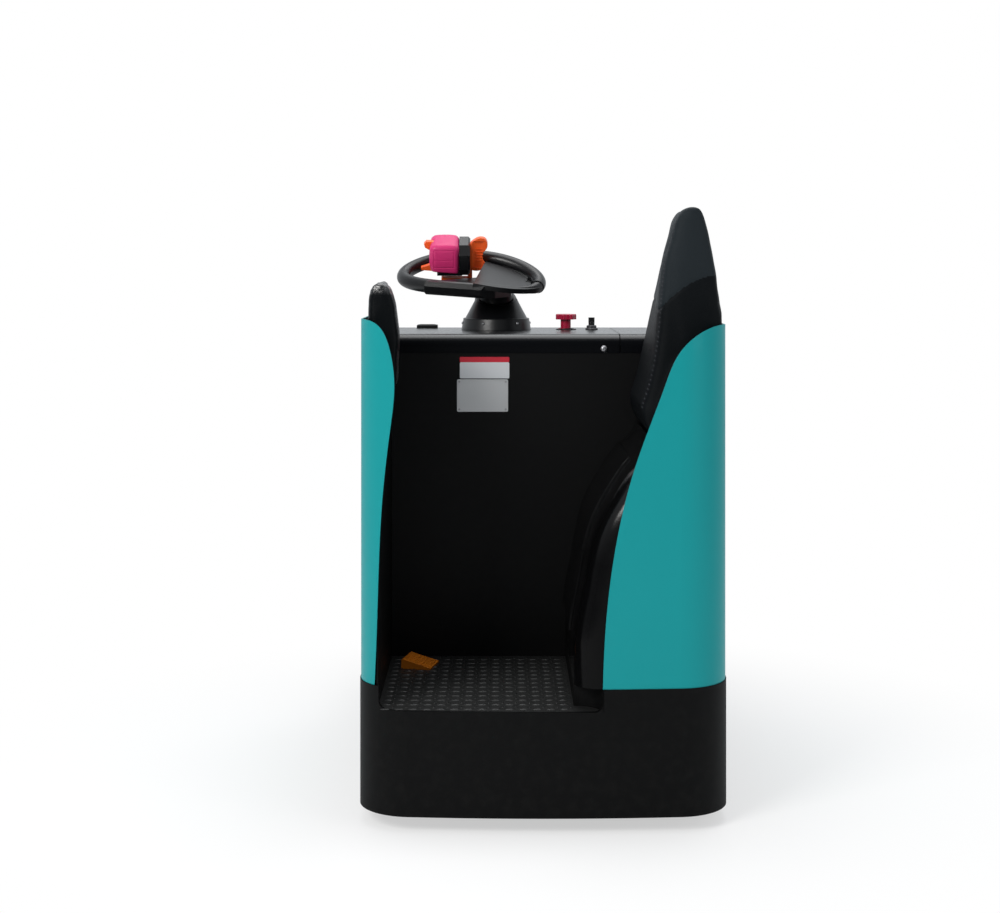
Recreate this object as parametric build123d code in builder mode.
# Electric platform truck with a stand-in step, built in millimetres
# +X is to the right seen from the step, +Y runs from the step to the load deck, +Z is up
from build123d import *
import math
import os

os.makedirs("parts", exist_ok=True)

# Overall sizes
LENGTH = 2500.0
WIDTH = 814.0
Y_FRONT = -LENGTH / 2
STEP_DEPTH = 550.0
HOOD_LENGTH = 450.0
Y_WALL = Y_FRONT + STEP_DEPTH
Y_HOOD = Y_WALL + HOOD_LENGTH
JAW_REACH = 80.0
Y_DECK = LENGTH / 2 - JAW_REACH

# Heights
SKIRT_LOW = 35.0
STEP_TOP = 263.0
LEDGE_TOP = 312.0
HOOD_TOP = 1056.0
LIP_LOW = 1010.0
LIP_OUT = 2.0
COVER_TOP_LEFT = 1108.0
COVER_TOP_RIGHT = 1096.0
DECK_LOW = 290.0
DECK_TOP = 405.0

# Sheet and plate sizes
SKIRT_T = 12.0
COVER_T = 4.0
SHEET_T = 3.0
PLATE_T = 6.0
LEDGE_INSET = 2.0
CORNER = 120.0
BULGE = 22.0
SEAT_GAP = 0.3

# Step recess in the base
RECESS_LEFT = 47.0 - WIDTH / 2
KICK_X = WIDTH / 2 - 342.0
KICK_R = 62.0
RECESS_R = 18.0

# Wheels
DRIVE_R = 125.0
DRIVE_W = 76.0
DRIVE_Y = Y_WALL + 300.0
CASTER_R = 75.0
CASTER_W = 48.0
CASTER_X = WIDTH / 2 - 150.0
CASTER_Y = Y_FRONT + 155.0
CASTER_TRAIL = 45.0
LOAD_R = 125.0
LOAD_W = 80.0
LOAD_X = WIDTH / 2 - 115.0
LOAD_Y = Y_DECK - 340.0
PIN_CLEAR = 0.05

# Steering head
HEAD_X = -106.0
HEAD_Y = Y_WALL + 320.0
HEAD_Z = HOOD_TOP + 84.0
HEAD_TILT = 24.0


def shares(points, x0, width, z0, height):
    """Profile points given as shares of a width and a height"""
    return [(x0 + a * width, z0 + b * height) for a, b in points]


def save(piece, name):
    """Write one piece as its own file"""
    shape = piece.part if isinstance(piece, BuildPart) else piece
    shape.label = name
    export_step(shape, f"parts/{name}.step")


def plan_face(inset, y_back):
    """Plan outline of the rounded step end, moved inwards by inset"""
    half = WIDTH / 2 - inset
    y_side = Y_FRONT + BULGE + inset
    with BuildSketch(mode=Mode.PRIVATE) as plan:
        with BuildLine():
            Line((half, y_back), (half, y_side))
            ThreePointArc((half, y_side), (0, Y_FRONT + inset), (-half, y_side))
            Line((-half, y_side), (-half, y_back))
            Line((-half, y_back), (half, y_back))
        make_face()
        fillet(plan.vertices().sort_by(Axis.Y)[:2], CORNER - inset)
    return plan.sketch


def plan_ring(outer, inner, y_back, low, high):
    """Upright band that follows the rounded step end"""
    with BuildPart(mode=Mode.PRIVATE) as ring:
        with BuildSketch(Plane.XY.offset(low)):
            add(plan_face(outer, y_back))
            add(plan_face(inner, y_back + 40), mode=Mode.SUBTRACT)
        extrude(amount=high - low)
    return ring.part


def plan_block(inset, y_back, low, high):
    """Full block inside the rounded step end"""
    with BuildPart(mode=Mode.PRIVATE) as block:
        with BuildSketch(Plane.XY.offset(low)):
            add(plan_face(inset, y_back))
        extrude(amount=high - low)
    return block.part


def box(x0, x1, y0, y1, z0, z1):
    """Box between two corners"""
    return Pos((x0 + x1) / 2, (y0 + y1) / 2, (z0 + z1) / 2) * Box(x1 - x0, y1 - y0, z1 - z0, mode=Mode.PRIVATE)


def front_face(points, y):
    """Flat face in a plane across the truck, from points given as X and Z"""
    with BuildSketch(Plane.XZ.offset(-y), mode=Mode.PRIVATE) as face:
        with BuildLine():
            Polyline(*points, close=True)
        make_face()
    return face.sketch


def across(points, y0, y1):
    """Straight solid along Y from a profile of X and Z points"""
    return extrude(front_face(points, y0), amount=y1 - y0, dir=(0, 1, 0), mode=Mode.PRIVATE)


def curve_across(edge_points, closing_points, y0, y1, upright=False):
    """Straight solid along Y whose first side is a smooth curve of X and Z points"""
    with BuildSketch(Plane.XZ.offset(-y0), mode=Mode.PRIVATE) as face:
        with BuildLine():
            if upright:
                Line(edge_points[0], edge_points[1])
                Spline(*edge_points[1:], tangents=((0, 1), (0, 1)))
            else:
                Spline(*edge_points)
            Polyline(edge_points[-1], *closing_points, edge_points[0])
        make_face()
    return extrude(face.sketch, amount=y1 - y0, dir=(0, 1, 0), mode=Mode.PRIVATE)


# Base skirt: one bent steel band with the step recess cut out of it
with BuildPart() as base_skirt:
    add(plan_ring(0, SKIRT_T, Y_HOOD, SKIRT_LOW, LEDGE_TOP))
    with BuildSketch(Plane.XY.offset(STEP_TOP)):
        with BuildLine():
            Line((KICK_X, Y_WALL), (KICK_X, Y_FRONT + KICK_R))
            RadiusArc((KICK_X, Y_FRONT + KICK_R), (KICK_X + KICK_R, Y_FRONT), KICK_R)
            Line((KICK_X + KICK_R, Y_FRONT), (KICK_X + KICK_R, Y_FRONT + SKIRT_T))
            RadiusArc((KICK_X + KICK_R, Y_FRONT + SKIRT_T), (KICK_X + SKIRT_T, Y_FRONT + KICK_R),
                      -(KICK_R - SKIRT_T))
            Line((KICK_X + SKIRT_T, Y_FRONT + KICK_R), (KICK_X + SKIRT_T, Y_WALL))
            Line((KICK_X + SKIRT_T, Y_WALL), (KICK_X, Y_WALL))
        make_face()
    extrude(amount=LEDGE_TOP - STEP_TOP)
    with BuildPart(mode=Mode.SUBTRACT) as recess:
        with BuildSketch(Plane.XY.offset(STEP_TOP)):
            with BuildLine():
                Line((RECESS_LEFT, Y_FRONT - 20), (KICK_X + KICK_R, Y_FRONT - 20))
                Line((KICK_X + KICK_R, Y_FRONT - 20), (KICK_X + KICK_R, Y_FRONT))
                RadiusArc((KICK_X + KICK_R, Y_FRONT), (KICK_X, Y_FRONT + KICK_R), -KICK_R)
                Line((KICK_X, Y_FRONT + KICK_R), (KICK_X, Y_WALL))
                Line((KICK_X, Y_WALL), (RECESS_LEFT, Y_WALL))
                Line((RECESS_LEFT, Y_WALL), (RECESS_LEFT, Y_FRONT - 20))
            make_face()
        extrude(amount=LEDGE_TOP - STEP_TOP + 10)
        low_edges = recess.faces().sort_by(Axis.Z)[0].edges().sort_by(lambda e: e.center().X)
        fillet([low_edges[0], low_edges[-2], low_edges[-3]], RECESS_R)
save(base_skirt, "base_skirt")

# Step floor plate and the beam below it that carries the two casters
step_floor = plan_block(SKIRT_T, Y_WALL, STEP_TOP - PLATE_T, STEP_TOP)
save(step_floor, "step_floor")

BEAM_T = 12.0
BEAM_TOP = STEP_TOP - PLATE_T
BOSS_LOW = 222.0
STEM_R = 14.0
inner_half = WIDTH / 2 - SKIRT_T
with BuildPart() as caster_beam:
    add(box(-inner_half, inner_half, CASTER_Y - 45, CASTER_Y + 75, BEAM_TOP - BEAM_T, BEAM_TOP))
    add(plan_block(SKIRT_T, Y_WALL, BEAM_TOP - BEAM_T, BEAM_TOP), mode=Mode.INTERSECT)
    for side in (-1, 1):
        with Locations((side * CASTER_X, CASTER_Y, (BOSS_LOW + BEAM_TOP - BEAM_T) / 2)):
            Cylinder(36, BEAM_TOP - BEAM_T - BOSS_LOW)
        with Locations((side * CASTER_X, CASTER_Y, (BOSS_LOW + BEAM_TOP - BEAM_T) / 2)):
            Cylinder(STEM_R + PIN_CLEAR, BEAM_TOP - BEAM_T - BOSS_LOW, mode=Mode.SUBTRACT)
save(caster_beam, "caster_beam")

# Teal covers round the step, each a front flange and a side wall in one sheet
RIGHT_FLANGE = 281.0
LEFT_FLANGE = 82.0
RIGHT_SHARES = [(1.0, 0.0), (0.971, 0.204), (0.882, 0.429), (0.768, 0.592), (0.643, 0.719), (0.521, 0.834),
                (0.414, 0.921), (0.271, 0.972), (0.05, 1.0)]
LEFT_SHARES = [(0.457, 0.0), (0.531, 0.175), (0.679, 0.511), (0.901, 0.709), (1.0, 0.802), (0.889, 0.915),
               (0.605, 0.979), (0.05, 1.0)]
RIGHT_EDGE = shares(RIGHT_SHARES, WIDTH / 2, -RIGHT_FLANGE, LEDGE_TOP, COVER_TOP_RIGHT - LEDGE_TOP)
LEFT_EDGE = shares(LEFT_SHARES, -WIDTH / 2, LEFT_FLANGE, LEDGE_TOP, COVER_TOP_LEFT - LEDGE_TOP)
beyond = WIDTH / 2 + 10
cover_in = LEDGE_INSET + COVER_T
right_ring = plan_ring(LEDGE_INSET, cover_in, Y_WALL, LEDGE_TOP, COVER_TOP_RIGHT)
right_keep = curve_across(RIGHT_EDGE, [(beyond, COVER_TOP_RIGHT), (beyond, LEDGE_TOP)], Y_FRONT - 5, Y_WALL + 5)
cover_right = right_ring & right_keep
save(cover_right, "cover_right")

left_ring = plan_ring(LEDGE_INSET, cover_in, Y_WALL, LEDGE_TOP, COVER_TOP_LEFT)
left_keep = curve_across(LEFT_EDGE, [(-beyond, COVER_TOP_LEFT), (-beyond, LEDGE_TOP)], Y_FRONT - 5, Y_WALL + 5)
cover_left = left_ring & left_keep
save(cover_left, "cover_left")

# Teal side panels beside the hood, stepping down to the hood height behind the step
side_out = WIDTH / 2 - LEDGE_INSET
side_in = side_out - COVER_T
SIDE_TOP = 1066.0
for side, name, top in ((-1, "left", COVER_TOP_LEFT), (1, "right", COVER_TOP_RIGHT)):
    with BuildPart() as side_panel:
        with BuildSketch(Plane.YZ.offset(side * side_out - (COVER_T if side > 0 else 0))):
            with BuildLine():
                Line((Y_WALL, LEDGE_TOP), (Y_WALL, top))
                Spline((Y_WALL, top), (Y_WALL + 70, (top + SIDE_TOP) / 2), (Y_WALL + 140, SIDE_TOP),
                       tangents=((1, 0), (1, 0)))
                Line((Y_WALL + 140, SIDE_TOP), (Y_HOOD, SIDE_TOP))
                Line((Y_HOOD, SIDE_TOP), (Y_HOOD, LEDGE_TOP))
                Line((Y_HOOD, LEDGE_TOP), (Y_WALL, LEDGE_TOP))
            make_face()
        extrude(amount=COVER_T)
    save(side_panel, f"side_panel_{name}")

# Black moulding on the right of the step, a shell with a rounded front edge
MOULD_T = 5.0
MOULD_TOP = 845.0
MOULD_W = 171.0
MOULD_SHARES = [(0.0, 0.0), (0.0, 0.146), (0.088, 0.343), (0.181, 0.508), (0.31, 0.653), (0.526, 0.78),
                (0.819, 0.906), (1.0, 1.0)]
MOULD_EDGE = shares(MOULD_SHARES, KICK_X, MOULD_W, LEDGE_TOP, MOULD_TOP - LEDGE_TOP)
MOULD_R = 56.0


def mould_block(inset, edge_radius, y_back, low, high):
    """Solid right of the moulding curve, inside the plan outline, with a rounded front edge"""
    edge = [(x + inset, z) for x, z in MOULD_EDGE]
    with BuildPart(mode=Mode.PRIVATE) as block:
        add(curve_across(edge, [(side_in, MOULD_TOP), (side_in, LEDGE_TOP)], Y_FRONT - 5, y_back, upright=True))
        add(plan_block(cover_in + inset, y_back + 10, low, high), mode=Mode.INTERSECT)
        front = block.faces().sort_by(Axis.Y)[0]
        near = front.edges().sort_by(lambda e: e.center().X)[0]
        fillet(near, edge_radius)
    return block.part


outer_mould = mould_block(0, MOULD_R, Y_WALL, LEDGE_TOP, MOULD_TOP)
inner_mould = mould_block(MOULD_T, MOULD_R - MOULD_T, Y_WALL + 5, LEDGE_TOP - 5, MOULD_TOP - MOULD_T)
moulding_right = outer_mould - inner_mould
save(moulding_right, "moulding_right")

# Raised hip panel on the moulding, from the dark band back to the inner wall
HIP_FRONT = Y_FRONT + 200
HIP_T = 6.0
HIP_LOW = 400.0
HIP_HIGH = 790.0
with BuildPart() as hip_panel:
    add(curve_across([(x - HIP_T, z) for x, z in MOULD_EDGE],
                     [(side_in, MOULD_TOP), (side_in, LEDGE_TOP)], HIP_FRONT, Y_WALL, upright=True))
    add(box(0, WIDTH, Y_FRONT, Y_WALL + 5, HIP_LOW, HIP_HIGH), mode=Mode.INTERSECT)
    add(curve_across(MOULD_EDGE, [(side_out, MOULD_TOP), (side_out, LEDGE_TOP)], HIP_FRONT - 5, Y_WALL + 5,
                     upright=True),
        mode=Mode.SUBTRACT)
save(hip_panel, "hip_panel")

# Black liner on the left of the step with a flange out to the cover
LINER_X = RECESS_LEFT - 2.0
LINER_TOP = 1060.0
with BuildPart() as liner_left:
    add(plan_block(cover_in, Y_WALL, STEP_TOP, LINER_TOP))
    add(box(-WIDTH, LINER_X, Y_FRONT, Y_WALL, STEP_TOP, LINER_TOP), mode=Mode.INTERSECT)
    add(plan_block(cover_in + SHEET_T, Y_WALL + 5, STEP_TOP - 5, LINER_TOP - SHEET_T) &
        box(-WIDTH, LINER_X - SHEET_T, Y_FRONT, Y_WALL + 5, STEP_TOP - 5, LINER_TOP - SHEET_T),
        mode=Mode.SUBTRACT)
    add(box(-WIDTH, LINER_X - SHEET_T - 1, Y_FRONT, Y_WALL + 5, STEP_TOP - 5, LINER_TOP - SHEET_T),
        mode=Mode.SUBTRACT)
    add(box(-WIDTH, LINER_X + 1, Y_WALL - LIP_OUT - SEAT_GAP, Y_WALL + 1, LIP_LOW - SEAT_GAP, LINER_TOP + 1),
        mode=Mode.SUBTRACT)
    add(base_skirt.part, mode=Mode.SUBTRACT)
save(liner_left, "liner_left")

# Left hip pad, hooked over the top of the liner
PAD_FRONT = Y_FRONT + 130
PAD_BACK = Y_WALL - 30
PAD_LOW = 946.0
PAD_TOP = 1188.0
PAD_W = 62.0
PAD_SHARES = [(0.0, 0.72), (0.03, 0.934), (0.27, 1.0), (0.58, 1.0), (0.76, 0.934), (0.89, 0.802),
              (0.95, 0.554), (1.0, 0.223), (0.97, 0.066), (0.77, 0.0)]
pad_outer = LINER_X - 26
pad_points = [(pad_outer + 2, LINER_TOP)]
pad_points += shares(PAD_SHARES, pad_outer, PAD_W, PAD_LOW, PAD_TOP - PAD_LOW)
pad_points += [(LINER_X, PAD_LOW), (LINER_X, LINER_TOP)]
with BuildPart() as pad_left:
    add(across(pad_points, PAD_FRONT, PAD_BACK))
    fillet(pad_left.faces().filter_by(Axis.Y).edges(), 5)
save(pad_left, "pad_left")

# Backrest, two vinyl panels that meet on a curved seam
REST_FRONT = Y_FRONT + 130
REST_BACK = Y_WALL - 30
REST_TOP = 1359.0
REST_W = 178.0
REST_CONTACT = [(0.022, 0.049), (0.0, 0.117), (0.09, 0.218), (0.18, 0.362), (0.326, 0.588), (0.438, 0.757),
                (0.522, 0.856), (0.573, 0.944), (0.66, 0.995)]
REST_OUTER = [(0.76, 0.995), (0.83, 0.883), (0.93, 0.685), (1.0, 0.488), (1.0, 0.0), (0.13, 0.0)]
SEAM = [(-0.1, 0.49), (0.157, 0.551), (0.348, 0.599), (0.5, 0.644), (0.663, 0.679), (0.899, 0.698),
        (1.1, 0.706)]
rest_in = side_in - 1 - REST_W
rest_height = REST_TOP - MOULD_TOP
rest_inner = shares(REST_CONTACT, rest_in, REST_W, MOULD_TOP, rest_height)
rest_outer = shares(REST_OUTER, rest_in, REST_W, MOULD_TOP, rest_height)
seam_points = shares(SEAM, rest_in, REST_W, MOULD_TOP, rest_height)
above_points = shares([(1.1, 1.2), (-0.1, 1.2)], rest_in, REST_W, MOULD_TOP, rest_height)
with BuildPart() as backrest:
    add(across(rest_inner + rest_outer, REST_FRONT, REST_BACK))
    fillet(backrest.faces().filter_by(Axis.Y).edges(), 8)
above_seam = curve_across(seam_points, above_points, REST_FRONT - 5, REST_BACK + 5)
backrest_upper = backrest.part & above_seam
backrest_lower = backrest.part - above_seam
save(backrest_upper, "backrest_upper")
save(backrest_lower, "backrest_lower")

# Inner wall of the step and the covers over the hood
inner_wall = box(-inner_half, inner_half, Y_WALL, Y_WALL + SHEET_T, STEP_TOP, LIP_LOW)
save(inner_wall, "inner_wall")

COVER_SPLIT = 200.0
LIP_R = 30.0
SPLIT_GAP = 2.0
hood_inset = 0.3


def hood_sheet(x0, x1):
    """Bent sheet with a rounded lip over the step and a plain edge at the rear"""
    with BuildPart() as sheet:
        with BuildSketch(Plane.YZ.offset(x0)):
            with BuildLine():
                Line((Y_WALL - LIP_OUT, LIP_LOW), (Y_WALL - LIP_OUT, HOOD_TOP - LIP_R))
                RadiusArc((Y_WALL - LIP_OUT, HOOD_TOP - LIP_R), (Y_WALL - LIP_OUT + LIP_R, HOOD_TOP), LIP_R)
                Line((Y_WALL - LIP_OUT + LIP_R, HOOD_TOP), (Y_HOOD, HOOD_TOP))
                Line((Y_HOOD, HOOD_TOP), (Y_HOOD, HOOD_TOP - COVER_T))
                Line((Y_HOOD, HOOD_TOP - COVER_T), (Y_WALL - LIP_OUT + LIP_R, HOOD_TOP - COVER_T))
                RadiusArc((Y_WALL - LIP_OUT + LIP_R, HOOD_TOP - COVER_T),
                          (Y_WALL - LIP_OUT + COVER_T, HOOD_TOP - LIP_R), -(LIP_R - COVER_T))
                Line((Y_WALL - LIP_OUT + COVER_T, HOOD_TOP - LIP_R), (Y_WALL - LIP_OUT + COVER_T, LIP_LOW))
                Line((Y_WALL - LIP_OUT + COVER_T, LIP_LOW), (Y_WALL - LIP_OUT, LIP_LOW))
            make_face()
        extrude(amount=x1 - x0)
    return sheet.part


hood_cover = hood_sheet(-side_in + hood_inset, COVER_SPLIT - SPLIT_GAP / 2)
hood_side_cover = hood_sheet(COVER_SPLIT + SPLIT_GAP / 2, side_in - hood_inset)
save(hood_cover, "hood_cover")
save(hood_side_cover, "hood_side_cover")

# Rear wall of the hood, standing on the drive plate
rear_wall = box(-side_in, side_in, Y_HOOD - COVER_T, Y_HOOD, LEDGE_TOP, HOOD_TOP - COVER_T)
save(rear_wall, "rear_wall")

# Drive plate with the steering bore, and the heavy pieces on it
KING_R = 45.0
DRIVE_PLATE_T = 15.0
plate_low = LEDGE_TOP - DRIVE_PLATE_T
with BuildPart() as drive_plate:
    add(box(-inner_half, inner_half, Y_WALL + SHEET_T, Y_HOOD, plate_low, LEDGE_TOP))
    with Locations((0, DRIVE_Y, LEDGE_TOP - DRIVE_PLATE_T / 2)):
        Cylinder(KING_R + PIN_CLEAR, DRIVE_PLATE_T, mode=Mode.SUBTRACT)
save(drive_plate, "drive_plate")

BATTERY_T = 155.0
BATTERY_TOP = 900.0
battery_half = WIDTH / 2 - 77
battery = box(-battery_half, battery_half, Y_WALL + 20, Y_WALL + 20 + BATTERY_T, LEDGE_TOP, BATTERY_TOP)
save(battery, "battery")

MOTOR_R = 95.0
MOTOR_TOP = 620.0
with BuildPart() as drive_motor:
    with Locations((0, DRIVE_Y, LEDGE_TOP + 4)):
        Cylinder(MOTOR_R + 20, 8)
    with Locations((0, DRIVE_Y, (LEDGE_TOP + 8 + MOTOR_TOP) / 2)):
        Cylinder(MOTOR_R, MOTOR_TOP - LEDGE_TOP - 8)
save(drive_motor, "drive_motor")

# Steered fork: king stem, crown, one gear leg and its axle stub in one casting
with BuildPart() as drive_fork:
    with Locations((0, DRIVE_Y, (plate_low - 4 + LEDGE_TOP - 1) / 2)):
        Cylinder(KING_R, LEDGE_TOP - 1 - plate_low + 4)
    with Locations((0, DRIVE_Y, plate_low - 4 - 12)):
        Cylinder(100, 24)
    with BuildSketch(Plane.YZ.offset(DRIVE_W / 2 + 8)):
        with Locations((DRIVE_Y, DRIVE_R)):
            Circle(52)
        with Locations((DRIVE_Y, (DRIVE_R + plate_low - 4) / 2)):
            Rectangle(90, plate_low - 4 - DRIVE_R)
    extrude(amount=34)
    with Locations(Location((DRIVE_W / 2 + 8 - 30, DRIVE_Y, DRIVE_R), (0, 90, 0))):
        Cylinder(22, 64)
save(drive_fork, "drive_fork")


def wheel(tyre_name, hub_name, x, y, radius, width, tyre_t, bore_r, dish):
    """Tyre ring with rounded shoulders and the hub inside it"""
    turn = Location((x, y, radius), (0, 90, 0))
    with BuildPart() as tyre:
        with Locations(turn):
            Cylinder(radius, width)
        fillet(tyre.edges().filter_by(GeomType.CIRCLE), width * 0.12)
        with Locations(turn):
            Cylinder(radius - tyre_t, width + 2, mode=Mode.SUBTRACT)
    save(tyre, tyre_name)
    with BuildPart() as hub:
        with Locations(turn):
            Cylinder(radius - tyre_t, width - 6)
        for side in (-1, 1):
            with Locations(Location((x + side * (width / 2 - 3 - dish / 2), y, radius), (0, 90, 0))):
                Cylinder(radius - tyre_t - 10, dish, mode=Mode.SUBTRACT)
                Cylinder(bore_r + 14, dish)
        with Locations(turn):
            Cylinder(bore_r, width + 2, mode=Mode.SUBTRACT)
    save(hub, hub_name)


wheel("drive_tyre", "drive_hub", 0, DRIVE_Y, DRIVE_R, DRIVE_W, 26, 22 + PIN_CLEAR, 16)

# Casters: swivel fork with stem, legs and axle pin, and a plain wheel
CROWN_TOP = BOSS_LOW - 2
CROWN_T = 10.0
LEG_T = 8.0
AXLE_R = 8.0
leg_in = CASTER_W / 2 + 5
for side, name in ((-1, "left"), (1, "right")):
    x = side * CASTER_X
    with BuildPart() as fork:
        with Locations((x, CASTER_Y, (CROWN_TOP + BEAM_TOP - BEAM_T - 1) / 2)):
            Cylinder(STEM_R, BEAM_TOP - BEAM_T - 1 - CROWN_TOP)
        with Locations((x, CASTER_Y, CROWN_TOP - CROWN_T / 2)):
            Cylinder(40, CROWN_T)
        for leg in (-1, 1):
            with BuildSketch(Plane.YZ.offset(x + leg * (leg_in + LEG_T / 2) - LEG_T / 2)):
                with BuildLine():
                    Polyline((CASTER_Y - 24, CROWN_TOP - CROWN_T / 2), (CASTER_Y + 24, CROWN_TOP - CROWN_T / 2),
                             (CASTER_Y + CASTER_TRAIL + 20, CASTER_R + 4),
                             (CASTER_Y + CASTER_TRAIL + 14, CASTER_R - 16),
                             (CASTER_Y + CASTER_TRAIL - 14, CASTER_R - 16),
                             (CASTER_Y + CASTER_TRAIL - 22, CASTER_R + 8), close=True)
                make_face()
            extrude(amount=LEG_T)
        with Locations(Location((x, CASTER_Y + CASTER_TRAIL, CASTER_R), (0, 90, 0))):
            Cylinder(AXLE_R, 2 * (leg_in + LEG_T))
    save(fork, f"caster_fork_{name}")
    with BuildPart() as caster_wheel:
        turn = Location((x, CASTER_Y + CASTER_TRAIL, CASTER_R), (0, 90, 0))
        with Locations(turn):
            Cylinder(CASTER_R, CASTER_W)
        fillet(caster_wheel.edges().filter_by(GeomType.CIRCLE), 6)
        for face in (-1, 1):
            with Locations(Location((x + face * (CASTER_W / 2 - 4), CASTER_Y + CASTER_TRAIL, CASTER_R),
                                    (0, 90, 0))):
                Cylinder(50, 8, mode=Mode.SUBTRACT)
                Cylinder(22, 8)
        with Locations(turn):
            Cylinder(AXLE_R + PIN_CLEAR, CASTER_W + 2, mode=Mode.SUBTRACT)
    save(caster_wheel, f"caster_wheel_{name}")

# Load deck: welded frame, deck board, rear bumper and tow coupling
RAIL_H = 100.0
RAIL_W = 50.0
BAR_T = 8.0
DECK_Y0 = Y_HOOD
deck_run = Y_DECK - BAR_T - DECK_Y0
CROSS_Y = [DECK_Y0 + share * deck_run for share in (0.0, 0.33, 0.673, 0.857, 1.0)]
half_width = WIDTH / 2
with BuildPart() as deck_frame:
    for side in (-1, 1):
        x_out = side * half_width
        x_web = side * (half_width - BAR_T)
        x_in = side * (half_width - RAIL_W)
        add(box(min(x_out, x_web), max(x_out, x_web), DECK_Y0, Y_DECK, DECK_LOW, DECK_LOW + RAIL_H))
        for low in (DECK_LOW, DECK_LOW + RAIL_H - BAR_T):
            add(box(min(x_out, x_in), max(x_out, x_in), DECK_Y0, Y_DECK, low, low + BAR_T))
    for y in CROSS_Y:
        add(box(-half_width + BAR_T, half_width - BAR_T, y, y + BAR_T, DECK_LOW, DECK_LOW + RAIL_H))
    add(box(-75, 75, Y_DECK - BAR_T, Y_DECK, 190, DECK_LOW + 10))
save(deck_frame, "deck_frame")

deck_board = box(-half_width, half_width, DECK_Y0, Y_DECK, DECK_LOW + RAIL_H, DECK_TOP)
save(deck_board, "deck_board")

with BuildPart() as rear_bumper:
    add(box(-half_width + 5, half_width - 5, Y_DECK, Y_DECK + 22, 330, 388))
    fillet(rear_bumper.edges().filter_by(Axis.X).group_by(Axis.Y)[-1], 12)
save(rear_bumper, "rear_bumper")

TOW_Z = 262.0
TOW_GAP = 42.0
JAW_T = 12.0
TOW_R = 13.0
with BuildPart() as tow_coupling:
    add(box(-62, 62, Y_DECK, Y_DECK + 10, 200, 322))
    for side in (-1, 1):
        jaw_z = TOW_Z + side * (TOW_GAP + JAW_T) / 2
        with BuildSketch(Plane.XY.offset(jaw_z - JAW_T / 2)):
            with BuildLine():
                Line((-48, Y_DECK + 10), (48, Y_DECK + 10))
                Line((48, Y_DECK + 10), (38, Y_DECK + JAW_REACH - 34))
                ThreePointArc((38, Y_DECK + JAW_REACH - 34), (0, Y_DECK + JAW_REACH), (-38, Y_DECK + JAW_REACH - 34))
                Line((-38, Y_DECK + JAW_REACH - 34), (-48, Y_DECK + 10))
            make_face()
            with Locations((0, Y_DECK + 44)):
                Circle(TOW_R, mode=Mode.SUBTRACT)
        extrude(amount=JAW_T)
save(tow_coupling, "tow_coupling")

# Load wheel brackets with their axle pins, welded under the frame
LOAD_AXLE_R = 14.0
bracket_in = LOAD_W / 2 + 7
for side, name in ((-1, "left"), (1, "right")):
    x = side * LOAD_X
    with BuildPart() as bracket:
        x_far = half_width if side > 0 else -half_width
        x_near = x - side * (bracket_in + LEG_T)
        add(box(min(x_near, x_far), max(x_near, x_far), LOAD_Y - 110, LOAD_Y + 138, DECK_LOW - 8, DECK_LOW))
        for leg in (-1, 1):
            with BuildSketch(Plane.YZ.offset(x + leg * (bracket_in + LEG_T / 2) - LEG_T / 2)):
                with BuildLine():
                    Polyline((LOAD_Y - 100, DECK_LOW - 4), (LOAD_Y + 100, DECK_LOW - 4),
                             (LOAD_Y + 36, LOAD_R - 20), (LOAD_Y + 20, LOAD_R - 36),
                             (LOAD_Y - 20, LOAD_R - 36), (LOAD_Y - 36, LOAD_R - 20), close=True)
                make_face()
            extrude(amount=LEG_T)
        with Locations(Location((x, LOAD_Y, LOAD_R), (0, 90, 0))):
            Cylinder(LOAD_AXLE_R, 2 * (bracket_in + LEG_T) + 8)
    save(bracket, f"load_bracket_{name}")
    wheel(f"load_tyre_{name}", f"load_hub_{name}", x, LOAD_Y, LOAD_R, LOAD_W, 24, LOAD_AXLE_R + PIN_CLEAR, 18)

# Steering console on the hood, its top tilted towards the step
head = Plane(origin=(HEAD_X, HEAD_Y, HEAD_Z), x_dir=(1, 0, 0),
             z_dir=(0, -math.sin(math.radians(HEAD_TILT)), math.cos(math.radians(HEAD_TILT))))
CONSOLE_R = 92.0
RING_H = 28.0
NECK_R = 52.0
HEAD_PIN_R = 15.0
with BuildPart() as steering_console:
    with Locations((HEAD_X, HEAD_Y, HOOD_TOP + RING_H / 2)):
        Cone(CONSOLE_R, CONSOLE_R - 5, RING_H)
    with BuildSketch(Plane.XY.offset(HOOD_TOP + RING_H)):
        with Locations((HEAD_X, HEAD_Y)):
            Circle(CONSOLE_R - 9)
    with BuildSketch(head):
        Circle(NECK_R)
    loft()
    with BuildSketch(head.offset(-28)):
        Circle(HEAD_PIN_R + PIN_CLEAR)
    extrude(amount=40, mode=Mode.SUBTRACT)
save(steering_console, "steering_console")

# Steering head. The loop is a closed oval tube whose two wings droop below its middle
# U runs along the loop, V across it towards the deck, W up from its plane
LOOP_A = 180.0
LOOP_B = 104.0
LOOP_TUBE = 18.3
LOOP_DROOP = 20.0
LOOP_X = -66.0
LOOP_H = 72.0
LOOP_TURN = -10.0
LOOP_POINTS = 24
LOOP_OPEN = 44.0
LOOP_END = -16.0
loop_plane = head.offset(LOOP_H)
pod_frame = Location(loop_plane) * Pos(LOOP_X, 0, 0)
loop_centre = pod_frame * Rot(0, 0, LOOP_TURN)


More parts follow.
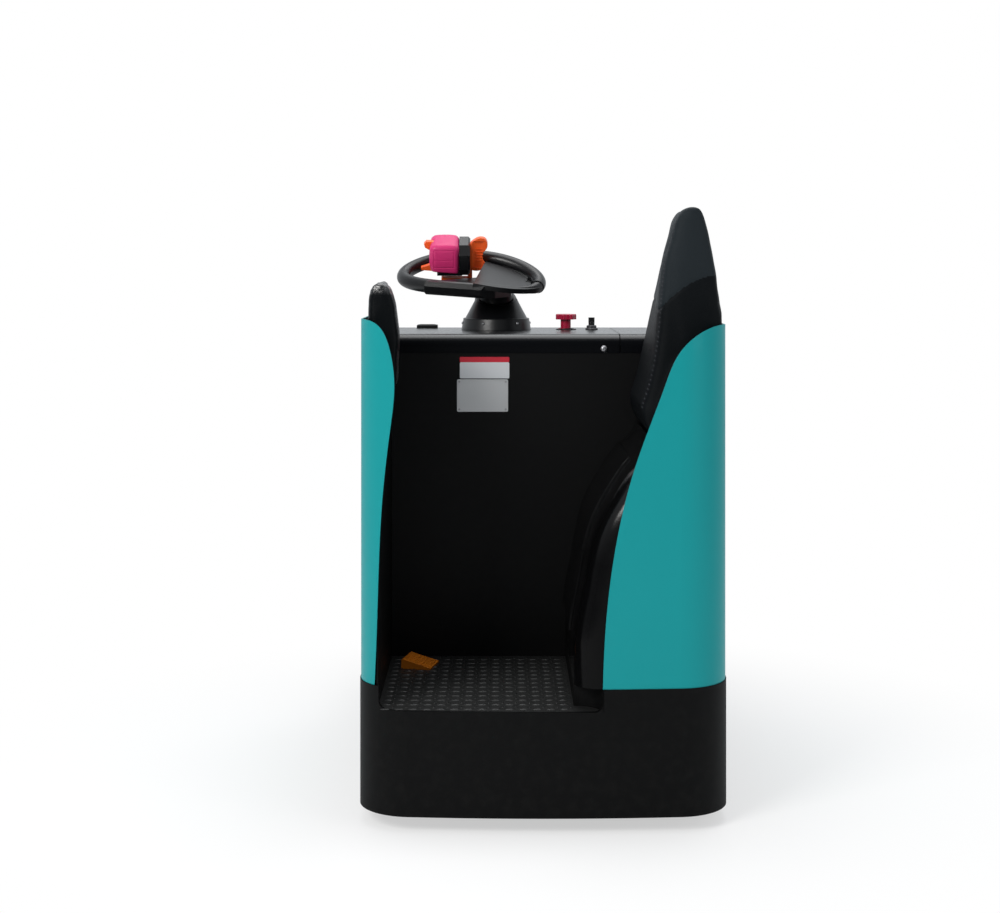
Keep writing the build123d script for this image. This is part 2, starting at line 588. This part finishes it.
def loop_half(start):
    """Half of the loop's tube, swept along its centre line from one wing tip to the other"""
    path = []
    for step in range(LOOP_POINTS // 2 + 1):
        turn = start + 2 * math.pi * step / LOOP_POINTS
        path.append((LOOP_A * math.cos(turn), LOOP_B * math.sin(turn), -LOOP_DROOP * math.cos(turn) ** 2))
    with BuildPart(mode=Mode.PRIVATE) as half:
        with BuildLine():
            Spline(*path)
        with BuildSketch(Plane(origin=path[0], x_dir=(1, 0, 0), z_dir=(0, math.cos(start), 0))):
            Circle(LOOP_TUBE)
        sweep()
    return half.part


# The tube stops at the right wing tip: from there to the arm the hub's web is the rim
with BuildPart() as steering_loop:
    add(loop_half(0))
    add(loop_half(math.pi))
    add(box(LOOP_OPEN, 260, -220, LOOP_END, -70, 70), mode=Mode.SUBTRACT)
loop_shape = loop_centre * steering_loop.part
save(loop_shape, "steering_loop")

# Hub arm: a blocky arm from the near rim to the hub, its section swept along U and trimmed in plan
ARM_PLAN = [(-100, -124), (-94, -92), (-62, -70), (-14, -10), (20, 25), (50, 56), (66, 60), (112, 30),
            (112, -30), (80, -90), (48, -124)]
ARM_SECTION = [(-123, -8), (-123, 9), (-113, 19), (-10, -13), (62, -32), (62, -46), (-30, -46), (-112, -19)]
WEB_T = 13.0
WEB_TOP = 15.0
WEB_FALL_U = 0.17
WEB_FALL_V = 0.125
WEB_LEFT = 24.0
SLIT = 12.0
web_plane = Plane(origin=(0, 0, WEB_TOP - WEB_T), x_dir=(1, 0, -WEB_FALL_U), z_dir=(WEB_FALL_U, WEB_FALL_V, 1))
with BuildPart() as arm_trim:
    with BuildSketch(Plane.XY.offset(-60)):
        with BuildLine():
            Polyline(*ARM_PLAN, close=True)
        make_face()
    extrude(amount=100)
with BuildPart() as hub_arm:
    with BuildSketch(Plane.YZ.offset(-110)):
        with BuildLine():
            Polyline(*ARM_SECTION, close=True)
        make_face()
    extrude(amount=240)
    add(arm_trim.part, mode=Mode.INTERSECT)
web_far = Ellipse(LOOP_A - LOOP_TUBE - SLIT, LOOP_B - LOOP_TUBE - SLIT)
web_near = Ellipse(LOOP_A + LOOP_TUBE - 2, LOOP_B + LOOP_TUBE - 2) & (Pos(0, -LOOP_B - 15) * Rectangle(500, 2 * LOOP_B))
web_face = (web_far + web_near) & (Pos(WEB_LEFT + LOOP_A, 0) * Rectangle(2 * LOOP_A, 4 * LOOP_B))
hub_web = extrude(web_plane * web_face, WEB_T)
with BuildPart() as steering_hub:
    add(loop_centre * hub_arm.part)
    add(loop_centre * hub_web)
    with BuildSketch(head.offset(2)):
        Circle(NECK_R - 6)
    extrude(amount=LOOP_H - 11)
    with BuildSketch(head.offset(-26)):
        Circle(HEAD_PIN_R)
    extrude(amount=30)
    add(loop_shape, mode=Mode.SUBTRACT)
save(steering_hub.part.solids().sort_by(SortBy.VOLUME)[-1], "steering_hub")

# Control pod on the far rim: body, grip block and two thumb paddles, in the frame that isn't turned
POD_FRONT = 12.0
POD_BACK = 98.0
POD_LOW = -4.0
POD_TOP = 68.0
GRIP_LEFT = -106.0
GRIP_RIGHT = -32.0
BODY_RIGHT = -3.0
PADDLE_FRONT = 50.0
PADDLE_BACK = 64.0
pod_middle = (POD_FRONT + POD_BACK) / 2
with BuildPart() as pod_body:
    with BuildSketch(Plane.YZ.offset(GRIP_RIGHT + SEAT_GAP)):
        with BuildLine():
            Polyline((POD_FRONT + 4, POD_LOW - 10), (POD_FRONT, POD_LOW + 6), (POD_FRONT + 2, POD_TOP - 26),
                     (POD_FRONT + 22, POD_TOP - 4), (POD_BACK - 10, POD_TOP - 2), (POD_BACK, POD_TOP - 14),
                     (POD_BACK, POD_LOW - 10), close=True)
        make_face()
    extrude(amount=BODY_RIGHT - GRIP_RIGHT - SEAT_GAP)
    chamfer(pod_body.faces().sort_by(Axis.X)[-1].edges(), 5)
    add(box(GRIP_LEFT + 16, GRIP_RIGHT + 8, POD_FRONT + 4, POD_BACK - 6, POD_LOW - 12, POD_LOW - SEAT_GAP))
with BuildPart() as grip:
    with BuildSketch(Plane.XY.offset(POD_LOW)):
        with Locations(((GRIP_LEFT + GRIP_RIGHT) / 2, pod_middle)):
            RectangleRounded(GRIP_RIGHT - GRIP_LEFT, POD_BACK - POD_FRONT, 13)
    extrude(amount=POD_TOP - POD_LOW)
    fillet(grip.faces().sort_by(Axis.Z)[-1].edges(), 11)
    add(box(GRIP_LEFT - 5, GRIP_LEFT + 8 + SEAT_GAP, PADDLE_FRONT - SEAT_GAP, PADDLE_BACK + SEAT_GAP,
            POD_LOW - 5, POD_TOP + 5), mode=Mode.SUBTRACT)
control_pod = pod_frame * pod_body.part - loop_shape - steering_hub.part
grip_block = pod_frame * grip.part - loop_shape - steering_hub.part
save(control_pod.solids().sort_by(SortBy.VOLUME)[-1], "control_pod")
save(grip_block.solids().sort_by(SortBy.VOLUME)[-1], "grip_block")

# Right thumb paddle: a butterfly with a hollowed front and a bar that runs back under the pod
RIGHT_WING = [(-8, 27), (-1, 62), (11, 72), (25, 77), (37, 73), (43, 61), (41, 48), (33, 36), (29, 20),
              (32, 8), (38, -3), (30, -12), (11, -17), (-4, -11), (-6, 4)]
with BuildPart() as paddle_raw:
    with BuildSketch(Plane.XZ.offset(-PADDLE_FRONT)):
        with BuildLine():
            Spline(*RIGHT_WING, periodic=True)
        make_face()
    extrude(amount=-(PADDLE_BACK - PADDLE_FRONT))
    with Locations((20, PADDLE_FRONT - 21, 30)):
        Cylinder(27, 76, mode=Mode.SUBTRACT)
    add(box(-10, 2, PADDLE_FRONT + 2, PADDLE_BACK - 2, -40, -8))
    add(box(-80, 2, PADDLE_FRONT - 4, PADDLE_BACK - 2, -46, -37))
paddle_right = pod_frame * paddle_raw.part - pod_frame * pod_body.part - steering_hub.part
save(paddle_right.solids().sort_by(SortBy.VOLUME)[-1], "paddle_right")

# Left thumb paddle: a bar let into the grip block with one tip above and one below
UPPER_TIP = [(GRIP_LEFT + 8, 66), (GRIP_LEFT - 12, 67), (GRIP_LEFT - 19, 60), (GRIP_LEFT - 16, 50),
             (GRIP_LEFT, 40), (GRIP_LEFT + 8, 40)]
LOWER_TIP = [(GRIP_LEFT + 8, 4), (GRIP_LEFT, 2), (GRIP_LEFT - 14, -4), (GRIP_LEFT - 28, -8),
             (GRIP_LEFT - 27, -15), (GRIP_LEFT + 8, -18)]
with BuildPart() as paddle_raw:
    for tip in (UPPER_TIP, LOWER_TIP):
        add(across(tip, PADDLE_FRONT, PADDLE_BACK))
    add(box(GRIP_LEFT, GRIP_LEFT + 8, PADDLE_FRONT, PADDLE_BACK, -18, 66))
save(pod_frame * paddle_raw.part - loop_shape, "paddle_left")

# Small controls on the hood and the pedal on the step
STOP_X = HEAD_X + 183.0
STOP_Y = Y_WALL + 300.0
KEY_X = STOP_X + 68.0
with BuildPart() as emergency_stop:
    with Locations((STOP_X, STOP_Y, HOOD_TOP + 2)):
        Cylinder(20, 4)
    with Locations((STOP_X, STOP_Y, HOOD_TOP + 14)):
        Cylinder(13.5, 28)
    with BuildSketch(Plane.XY.offset(HOOD_TOP + 27)):
        with Locations((STOP_X, STOP_Y)):
            Circle(25)
        with Locations((STOP_X, STOP_Y)):
            with PolarLocations(22, 7):
                Circle(6)
    extrude(amount=14)
    fillet(emergency_stop.faces().sort_by(Axis.Z)[-1].edges(), 3)
save(emergency_stop, "emergency_stop")

with BuildPart() as key_switch:
    with Locations((KEY_X, STOP_Y, HOOD_TOP + 5)):
        Cylinder(13, 10)
    with Locations((KEY_X, STOP_Y, HOOD_TOP + 14)):
        Cylinder(8, 12)
    with Locations((KEY_X, STOP_Y, HOOD_TOP + 25)):
        Box(16, 6, 14)
save(key_switch, "key_switch")

CAP_X = HEAD_X - 186.0
with BuildPart() as hood_cap:
    add(box(CAP_X - 28, CAP_X + 28, Y_HOOD - 50, Y_HOOD - 12, HOOD_TOP, HOOD_TOP + 9))
    fillet(hood_cap.faces().sort_by(Axis.Z)[-1].edges(), 3)
save(hood_cap, "hood_cap")

# Pedal: a wedge turned in plan, its thin edge towards the middle of the step
PEDAL_X = RECESS_LEFT + 72.0
PEDAL_Y = Y_FRONT + 448.0
PEDAL_TURN = -12.0
pedal_section = [(-36, STEP_TOP), (36, STEP_TOP), (36, STEP_TOP + 4), (-33, STEP_TOP + 23),
                 (-36, STEP_TOP + 21)]
pedal = Pos(PEDAL_X, PEDAL_Y, 0) * Rot(0, 0, PEDAL_TURN) * across(pedal_section, -42, 42)
save(pedal, "pedal")
